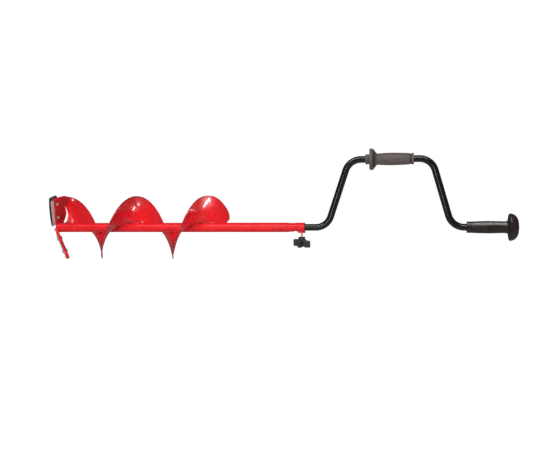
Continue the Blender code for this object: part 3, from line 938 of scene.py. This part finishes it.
def cutting_blade(side, turn):
    """Flat ground blade with a bowed cutting edge, and a bevel with a painted dark reflection on its handle
    side.
    """
    bow, steps, bevel = 0.0025, 24, radians(BEVEL_DEG)
    length = reach(bow - BLADE_LEAD, CUT_R)
    edge = [(bow * (2 * i / steps - 1) ** 2 - BLADE_LEAD, length * i / steps) for i in range(steps + 1)]
    outer_backs = (0.0, 0.003, 0.006, 0.009, 0.012, 0.015, BLADE_WIDTH - 0.003)
    outer = [(back, reach(back, CUT_R)) for back in outer_backs]
    inner = [(BLADE_WIDTH, reach(BLADE_WIDTH, CUT_R) - 0.004), (BLADE_WIDTH, 0.008), (0.012, -0.001)]
    mesh = plate("blade", [edge + outer + inner] + bolt_holes(0.0031), BLADE_T)
    grind = bmesh.new()
    bmesh.ops.create_cube(grind, size=1.0)
    wedge = bpy.data.meshes.new("wedge")
    grind.to_mesh(wedge)
    grind.free()
    size = 0.030
    place = at(0.0004 - BLADE_LEAD, length / 2, 0.0001) @ Matrix.Rotation(-bevel, 4, "Y")
    wedge.transform(place @ at(z=size / 2) @ Matrix.Diagonal((size, 0.2, size, 1.0)))
    mesh = worked(mesh, [wedge], bevel=0.00012, segments=2, angle=50.0)
    smooth(mesh, 20.0)
    steels, replaced = ["blade", "bevel"], [f"cutting_blade_{side}"]
    made = placed(f"blade_{side}", mesh, steels, "auger", replaced, turn @ above(0.0))
    up = (turn @ BLADE_FRAME).to_3x3() @ Vector((-sin(bevel), 0, cos(bevel)))
    for face in made.data.polygons:
        face.material_index = 1 if face.normal.dot(up) > 0.995 else 0


def bracket_outline():
    """The bracket seen along the blade frame's Z: (behind the edge, along the blade)."""
    front, middle = BRACKET_SETBACK, BLADE_T + GAP + BRACKET_T / 2
    leading = [(front, 0.002), (front, reach(front, BRACKET_R, middle))]
    outer_backs = (0.013, 0.019, 0.025, 0.031, 0.037, 0.042, 0.047)
    outer = [(back, reach(back, BRACKET_R, middle)) for back in outer_backs]
    trailing = [(0.0518, 0.0712), (0.0391, 0.0513), (0.0390, 0.0465), (0.0415, 0.0375),
                (0.0420, 0.0237), (0.0361, 0.0111), (0.0292, -0.0011), (0.0198, -0.0110)]
    return rounded_line(leading + outer + trailing, 0.006, 5, closed=True)


def blade_bracket(side, turn):
    """Raked plate from the tube's end out to the flighting, with rounded edges."""
    base = BLADE_T + GAP
    outline = [tuple(p) for p in bracket_outline()]
    mesh = plate("bracket", [outline] + bolt_holes(0.0032), BRACKET_T)
    mesh.transform(turn @ above(base))
    clear = cylinder(TUBE_R - 0.0002, -0.0026, 0.040, ALONG_X, 64)
    mesh = worked(mesh, [clear], bevel=0.0007, segments=3, angle=40.0)
    smooth(mesh, 30.0)
    on_auger(f"bracket_{side}", mesh, "bracket", [f"blade_bracket_{side}"])


def head_welds():
    """Beads that join each bracket to the tube's side and to the flighting's first edge."""
    beads = [weld_path([turn @ spot for spot in bracket_on_tube()], 0.0020) for turn in HEAD_SIDES.values()]
    radii = np.linspace(0.064, FLIGHT_R - 0.002, 40)
    rim = [flight_point(FLIGHT_LEAD_DEG + 0.2, radius) for radius in radii]
    beads.append(weld_path([spot + Vector((0.0004, -0.0008, 0.0)) for spot in rim], 0.0016))
    on_auger("head_welds", joined("head_welds", beads), "weld")


def bracket_on_tube():
    """Where the bracket's handle-side face meets the tube's skin, as far as the plate goes round it."""
    top = above(BLADE_T + GAP + BRACKET_T)
    origin, normal = top.translation, top.col[2].to_3d()
    spots = []
    for i in range(241):
        angle = radians(-200.0 + i)
        y, z = TUBE_R * cos(angle), TUBE_R * sin(angle)
        x = origin.x - (normal.y * (y - origin.y) + normal.z * (z - origin.z)) / normal.x
        local = top.inverted() @ Vector((x, y, z))
        if x > 0.0005 and local.y > -0.004 and local.x < 0.040:
            spots.append(Vector((x, y * 1.03, z * 1.03)))
    return spots


def cutting_head():
    for side, turn in HEAD_SIDES.items():
        cutting_blade(side, turn)
        blade_bracket(side, turn)
        for number, centre in enumerate(BLADE_BOLTS, start=1):
            blade_fasteners(side, number, centre, turn)


# ---- clamp screw ----


def thumb_screw():
    mesh = threaded("clamp_screw", THUMB_R, 0.00125, -0.036, -(CRANK_R + GAP), steps=36)
    mesh.transform(at(THUMB_X))
    placed("clamp_screw", mesh, ["zinc"], "clamp_shank", ["thumb_screw"])


HUB_R = 0.0087
WING_R = 0.0228
WING_T = 0.0085
WING_AZIMUTHS = (-14.0, 76.0, 166.0, 256.0)
WING_BLEND = 10         # higher makes the corner between wing and hub sharper


def winged(inset, hub):
    """Polar radius of the knob: four round-ended wings and a hub, all shrunk by the inset."""
    half = WING_T / 2 - inset
    centre = WING_R - WING_T / 2

    def radius(angle):
        best = hub
        for azimuth in WING_AZIMUTHS:
            turn = angle - radians(azimuth)
            off = math.atan2(sin(turn), cos(turn))
            if abs(off) >= pi / 2:
                continue
            across = centre * abs(sin(off))
            if across <= half:
                far = centre * cos(off) + sqrt(half * half - across * across)
            else:
                far = half / abs(sin(off))
            best = (best**WING_BLEND + far**WING_BLEND) ** (1 / WING_BLEND)
        return min(best, WING_R)

    return radius


def wing_lean(angle):
    """How far a wing at this angle stands above the middle of the four."""
    return -0.0016 * cos(angle) + 0.0018 * sin(angle)


def thumb_knob():
    """Moulded four-winged knob: round hub above, rounded wings below, and a shallow dish underneath."""
    steps, arc, soft, bore = 360, 5, 0.0020, THUMB_R + 0.0003
    hub_top, wing_top, wing_end = -0.0240, -0.0320, -0.0493
    upper = [(bore, -0.0370), (bore, hub_top - 0.0004), (THUMB_R + 0.0007, hub_top),
             (HUB_R - 0.0010, hub_top), (HUB_R - 0.0004, hub_top - 0.0003),
             (HUB_R - 0.0001, hub_top - 0.0010), (HUB_R, hub_top - 0.0022), (HUB_R, wing_top + 0.0003)]
    slopes = [radians(90 * k / arc) for k in range(arc + 1)]
    for a in slopes:
        upper.append((winged(soft * (1 - sin(a)), HUB_R), wing_top - soft * (1 - cos(a))))
    for a in slopes:
        inset = soft * (1 - cos(a))
        upper.append((winged(inset, HUB_R - inset), wing_end + soft * (1 - sin(a))))
    dish = [(HUB_R - soft - 0.0008, wing_end), (HUB_R - soft - 0.0014, wing_end + 0.0012),
            (0.0010, wing_end + 0.0016)]
    rings = [polar_ring(r, z, steps) for r, z in upper + dish]
    mesh = stacked("clamp_knob_moulding", rings, degrees=38.0)
    for vertex in mesh.vertices:
        x, y, z = vertex.co
        if z < wing_top + 0.0002:
            out = min(1.0, max(0.0, (math.hypot(x, y) - HUB_R) / 0.0015))
            vertex.co.z = z + out * wing_lean(math.atan2(y, x))
    mesh.transform(at(THUMB_X))
    placed("clamp_knob_moulding", mesh, ["knob"], "clamp_knob", ["thumb_knob"])


# ---- crank ----


def filleted(corners, radius, steps):
    """The line through the corners, with an arc of this radius at each bend."""
    points = [corners[0]]
    for before, corner, after in zip(corners, corners[1:], corners[2:]):
        to_before, to_after = (before - corner).normalized(), (after - corner).normalized()
        half = to_before.angle(to_after) / 2
        centre = corner + (to_before + to_after).normalized() * (radius / sin(half))
        start = corner + to_before * (radius / math.tan(half)) - centre
        sweep = pi - 2 * half
        axis = to_before.cross(to_after).normalized()
        for i in range(steps + 1):
            points.append(centre + Matrix.Rotation(-sweep * i / steps, 3, axis) @ start)
    return points + [corners[-1]]


def crank_tube():
    """One tube: the hidden shank, the bow and the palm grip's spindle."""
    x1, x2, x3, x4 = CRANK_CORNERS
    line = [(CRANK_START, 0.0), (x1, 0.0), (x2, CRANK_THROW), (x3, CRANK_THROW), (x4, 0.0),
            (CRANK_END, 0.0)]
    corners = [Vector((x, 0.0, z)) for x, z in line]
    mesh = swept("crank_bent_tube", filleted(corners, CRANK_BEND_R, 32), CRANK_R, 56)
    placed("crank_bent_tube", mesh, ["black"], "crank", ["crank_tube"])


# ---- grips ----


def middle_grip():
    """Rubber sleeve: stepped collar, hand-stop flange with a conical back, barrel body and a lipped end."""
    start, end, bore = MIDDLE_GRIP_START, MIDDLE_GRIP_END, CRANK_R + 0.0002
    collar = [(0.0129, 0.0), (0.0129, 0.0040), (0.0120, 0.0045), (0.0120, 0.0100)]
    flange = [(0.0264, 0.0100), (0.0267, 0.0108), (0.0267, 0.0176), (0.0255, 0.0195), (0.0165, 0.0265)]
    body = [(0.0140, 0.0290), (0.0145, 0.0360), (0.0150, 0.0450), (0.0154, 0.0540), (0.0156, 0.0630),
            (0.0156, 0.0700), (0.0153, 0.0830), (0.0149, 0.0940), (0.0142, 0.1080)]
    groove = [(0.0131, 0.1088), (0.0131, 0.1132), (0.0141, 0.1140)]
    outer = [(r, start + x) for r, x in [(bore, 0.0), *collar, *flange, *body, *groove]]
    mesh = turned("bow_grip", outer + [(0.0141, end), (bore, end)], 0.0007, 96, closed=True)
    mesh.transform(ALONG_X @ at(-CRANK_THROW))
    placed("bow_grip", mesh, ["rubber"], "middle_grip_sleeve", ["middle_grip"])


def palm_grip():
    """Plastic sleeve: ringed lower end, slightly barrelled body, flared into the palm knob."""
    start, end, bore = PALM_GRIP_START, CRANK_END + 0.0001, CRANK_R + 0.0002
    ridges = [(0.0135, 0.0), (0.0143, 0.0008), (0.0143, 0.0032), (0.0136, 0.0036), (0.0136, 0.0060),
              (0.0143, 0.0066), (0.0143, 0.0100), (0.0138, 0.0108), (0.0138, 0.0124), (0.0143, 0.0132)]
    body = [(0.0149, 0.0300), (0.0152, 0.0400), (0.0154, 0.0500), (0.0152, 0.0620), (0.0149, 0.0720),
            (0.0145, 0.0880)]
    flare = [(0.0150, 0.0940), (0.0160, 0.0965), (0.0180, 0.0983), (0.0215, 0.0992), (0.0290, 0.0998),
             (0.0325, 0.1005)]
    outer = [(r, start + x) for r, x in [(bore, 0.0), *ridges, *body, *flare]]
    outer += [(PALM_KNOB_R - 0.0002, end), (bore, end)]
    mesh = turned("palm_sleeve", outer, 0.0008, 96, closed=True)
    mesh.transform(ALONG_X)
    placed("palm_sleeve", mesh, ["palm"], "palm_handle", ["palm_grip"])


def palm_knob():
    """Domed palm rest, hollow over the retaining screw."""
    base, top, rim = CRANK_END + 0.0002, PALM_KNOB_TOP, PALM_KNOB_R
    dome = [(rim - 0.0003, base), (rim, top - 0.0203), (0.0330, top - 0.0165), (0.0314, top - 0.0118),
            (0.0285, top - 0.0078), (0.0250, top - 0.0048), (0.0195, top - 0.0020), (0.0120, top - 0.0006),
            (0.0060, top - 0.0002), (0.0003, top)]
    under = [(0.0003, base + 0.0080), (0.0135, base + 0.0080), (0.0135, base)]
    mesh = turned("palm_dome", dome + under, 0.004, 128, closed=True, corner_steps=6)
    mesh.transform(ALONG_X)
    placed("palm_dome", mesh, ["palm"], "palm_handle", ["palm_knob"])


def hidden_nodes():
    """The CAD pieces inside the tubes and the palm knob keep their shapes and take a detailed finish."""
    kept = {"crank_lower_plug": "plug", "crank_upper_plug": "zinc", "retaining_washer": "zinc",
            "retaining_screw": "zinc"}
    for node, finish in kept.items():
        for material_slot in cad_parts[node].material_slots:
            material_slot.material = FINISHES[finish].made


# ---- studio ----

FLOOR_GAP = 0.0006
FLOOR_SIDE = 12.0
FLOOR_GLOW = 1.25
FLOOR_GLOW_SHARE = 0.80
ROOM_STRENGTH = 0.06
TABLE_STRENGTH = 0.36


def floor():
    """Plain pale floor, lit from within so that the object's shadow stays faint.

    It lies just under the place that the bow, highest at rest, reaches after half a turn of the crank.
    """
    low = -max(corner[2] for corner in CAD_BOX) - FLOOR_GAP
    mesh = bpy.data.meshes.new("floor")
    corners = [(FLOOR_SIDE * x, FLOOR_SIDE * y, low) for x, y in ((-1, -1), (1, -1), (1, 1), (-1, 1))]
    mesh.from_pydata(corners, [], [(0, 1, 2, 3)])
    made = in_scene("floor", mesh)
    pale = Finish("pale_floor", (0.80, 0.80, 0.80), 0.9)
    pale.set("Specular IOR Level", 0.1)
    glow, mix = pale.node("Emission"), pale.node("MixShader")
    glow.inputs["Strength"].default_value = FLOOR_GLOW
    seen = pale.node("LightPath").outputs["Is Camera Ray"]
    shares = (pale.maths("MULTIPLY", seen, FLOOR_GLOW_SHARE), pale.shader.outputs[0], glow.outputs[0])
    for source, target in zip(shares, mix.inputs):
        pale.wire(source, target)
    pale.wire(mix.outputs[0], pale.tree.nodes["Material Output"].inputs["Surface"])
    mesh.materials.append(pale.made)
    made.visible_glossy = False
    made.visible_shadow = False


def softbox(name, place, target, size, power, mirrored=True, roll_deg=0.0, only=()):
    """A rectangular studio light, which can be kept to the pieces named.

    One that isn't mirrored lights the object without showing in its gloss.
    """
    data = bpy.data.lights.new(name, "AREA")
    data.shape = "RECTANGLE"
    data.size, data.size_y = size
    data.energy = power
    made = in_scene(name, data)
    made.location = place
    aim = (Vector(target) - Vector(place)).to_track_quat("-Z", "Y").to_matrix()
    made.rotation_euler = (aim @ Matrix.Rotation(radians(roll_deg), 3, "Z")).to_euler()
    made.visible_glossy = mirrored
    if only:
        lit = bpy.data.collections.new(name + "_lit")
        for piece in only:
            lit.objects.link(bpy.data.objects[piece])
        made.light_linking.receiver_collection = lit


def room():
    """White backdrop for the camera. The object's gloss shows a soft dark room over a grey table."""
    world = bpy.data.worlds.new("studio")
    bpy.context.scene.world = world
    world.use_nodes = True
    tree = world.node_tree
    tree.nodes.clear()
    link = tree.links.new

    def new(kind):
        return tree.nodes.new("ShaderNode" + kind)

    output, mix = new("OutputWorld"), new("MixShader")
    grey, backdrop = new("Background"), new("Background")
    backdrop.inputs["Strength"].default_value = 1.0
    backdrop.inputs["Color"].default_value = (1.0, 1.0, 1.0, 1.0)
    grey.inputs["Color"].default_value = (0.97, 0.98, 1.0, 1.0)
    split, fade = new("SeparateXYZ"), new("MapRange")
    limits = {"From Min": -0.60, "From Max": -0.05, "To Min": TABLE_STRENGTH, "To Max": ROOM_STRENGTH}
    for key, value in limits.items():
        fade.inputs[key].default_value = value
    link(new("TexCoord").outputs["Generated"], split.inputs[0])
    link(split.outputs["Z"], fade.inputs["Value"])
    link(fade.outputs["Result"], grey.inputs["Strength"])
    shares = (new("LightPath").outputs["Is Camera Ray"], grey.outputs[0], backdrop.outputs[0])
    for source, target in zip(shares, mix.inputs):
        link(source, target)
    link(mix.outputs[0], output.inputs["Surface"])


def lights():
    """A long strip above, fills in front and behind, and cards for glints on crank, grip and flights."""
    softbox("key", (0.5, -1.5, 2.1), (0.5, 0.0, 0.0), (3.0, 0.40), 46.0)
    softbox("front", (0.7, -3.1, 1.5), (0.6, 0.0, 0.0), (3.2, 1.4), 74.0, mirrored=False)
    softbox("back", (0.6, 3.2, 1.6), (0.6, 0.0, 0.0), (3.2, 1.4), 34.0, mirrored=False)
    softbox("arms", (0.15, -3.0, 0.05), (0.9, 0.0, 0.08), (0.16, 0.9), 8.0)
    palm_pieces = ("palm_sleeve", "palm_dome")
    softbox("palm", (1.1, -0.35, 2.0), (1.12, 0.0, 0.0), (0.9, 0.5), 22.0, only=palm_pieces)
    red_pieces = ("flight_sheet", "flight_stitch_welds", "bracket_a", "blade_a")
    softbox("glint", (2.12, 0.34, -0.30), (0.3, 0.0, 0.06), (0.15, 0.80), 17.0,
            roll_deg=-37.0, only=red_pieces)


def camera():
    data = bpy.data.cameras.new("camera")
    data.sensor_width = 36.0
    data.lens = 50.03
    data.clip_start = 0.02
    made = in_scene("camera", data)
    made.location = (0.914, -1.95, 0.10)
    yaw, pitch, roll = radians(-9.17), radians(-2.87), radians(-0.51)
    view = Vector((sin(yaw) * cos(pitch), cos(yaw) * cos(pitch), sin(pitch)))
    aim = view.to_track_quat("-Z", "Y").to_matrix()
    made.rotation_euler = (aim @ Matrix.Rotation(roll, 3, "Z")).to_euler()
    bpy.context.scene.camera = made
    bpy.context.scene.view_settings.view_transform = "Standard"


for step in (
    camera, auger_tube, lower_end_plug, clamp_nut, flighting, flight_welds, flight_root_shade, cutting_head,
    head_welds, thumb_screw, thumb_knob, crank_tube, middle_grip, palm_grip, palm_knob, hidden_nodes,
    floor, room, lights,
):
    step()
